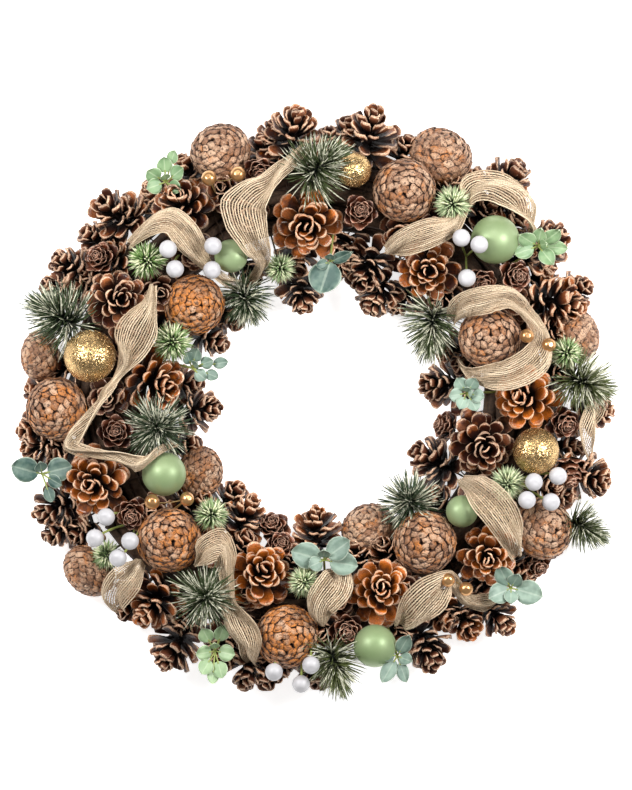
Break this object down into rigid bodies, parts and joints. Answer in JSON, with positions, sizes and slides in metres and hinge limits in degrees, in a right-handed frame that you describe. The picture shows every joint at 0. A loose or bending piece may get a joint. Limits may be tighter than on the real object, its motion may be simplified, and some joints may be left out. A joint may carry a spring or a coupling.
{
  "type": "christmas wreath",
  "caption": "Round wreath of open and closed pine cones on a vine ring, with burlap ribbon loops, green and gold baubles, white berries and artificial greenery.",
  "frame": {"origin": "middle of the wreath's outline, in the plane of its flat back", "axes": "+Z out of the wreath's face, +Y to the top of the wreath as the picture shows it"},
  "size_m": [0.5016, 0.4976, 0.107],
  "materials": {
    "vine": "rough bark",
    "cone_scales": "dry woody scales with a slight varnish",
    "green_bauble": "satin pearl",
    "gold_glitter": "gold glitter",
    "gold_bead": "metallic pearl",
    "burlap": "open jute weave",
    "pine_needles": "frosted tips",
    "eucalyptus_leaf": "powdery",
    "white_berry": "satin white"
  },
  "bodies": {
    "root": {"base_ring": "vine", "berry_pick_1": "white_berry", "berry_pick_2": "white_berry", "berry_pick_3": "white_berry", "berry_pick_4": "white_berry", "berry_pick_5": "white_berry", "cones_01": "cone_scales", "cones_02": "cone_scales", "cones_03": "cone_scales", "cones_04": "cone_scales", "cones_05": "cone_scales", "cones_06": "cone_scales", "cones_07": "cone_scales", "cones_08": "cone_scales", "cones_09": "cone_scales", "cones_10": "cone_scales", "cones_11": "cone_scales", "cones_12": "cone_scales", "eucalyptus_1": "eucalyptus_leaf", "eucalyptus_2": "eucalyptus_leaf", "eucalyptus_3": "eucalyptus_leaf", "eucalyptus_4": "eucalyptus_leaf", "eucalyptus_5": "eucalyptus_leaf", "eucalyptus_6": "eucalyptus_leaf", "eucalyptus_7": "eucalyptus_leaf", "gold_ball_1": "gold_glitter", "gold_ball_2": "gold_glitter", "gold_ball_3": "gold_glitter", "gold_beads_1": "gold_bead", "gold_beads_2": "gold_bead", "gold_beads_3": "gold_bead", "gold_beads_4": "gold_bead", "green_ball_1": "green_bauble", "green_ball_2": "green_bauble", "green_ball_3": "green_bauble", "green_ball_4": "green_bauble", "green_ball_5": "green_bauble", "needle_tuft_1": "pine_needles", "needle_tuft_2": "pine_needles", "needle_tuft_3": "pine_needles", "pine_spray_1": "pine_needles", "pine_spray_10": "pine_needles", "pine_spray_2": "pine_needles", "pine_spray_3": "pine_needles", "pine_spray_4": "pine_needles", "pine_spray_5": "pine_needles", "pine_spray_6": "pine_needles", "pine_spray_7": "pine_needles", "pine_spray_8": "pine_needles", "pine_spray_9": "pine_needles", "ribbon_1": "burlap", "ribbon_10": "burlap", "ribbon_2": "burlap", "ribbon_3": "burlap", "ribbon_4": "burlap", "ribbon_5": "burlap", "ribbon_6": "burlap", "ribbon_7": "burlap", "ribbon_8": "burlap", "ribbon_9": "burlap"}
  },
  "joints": []
}
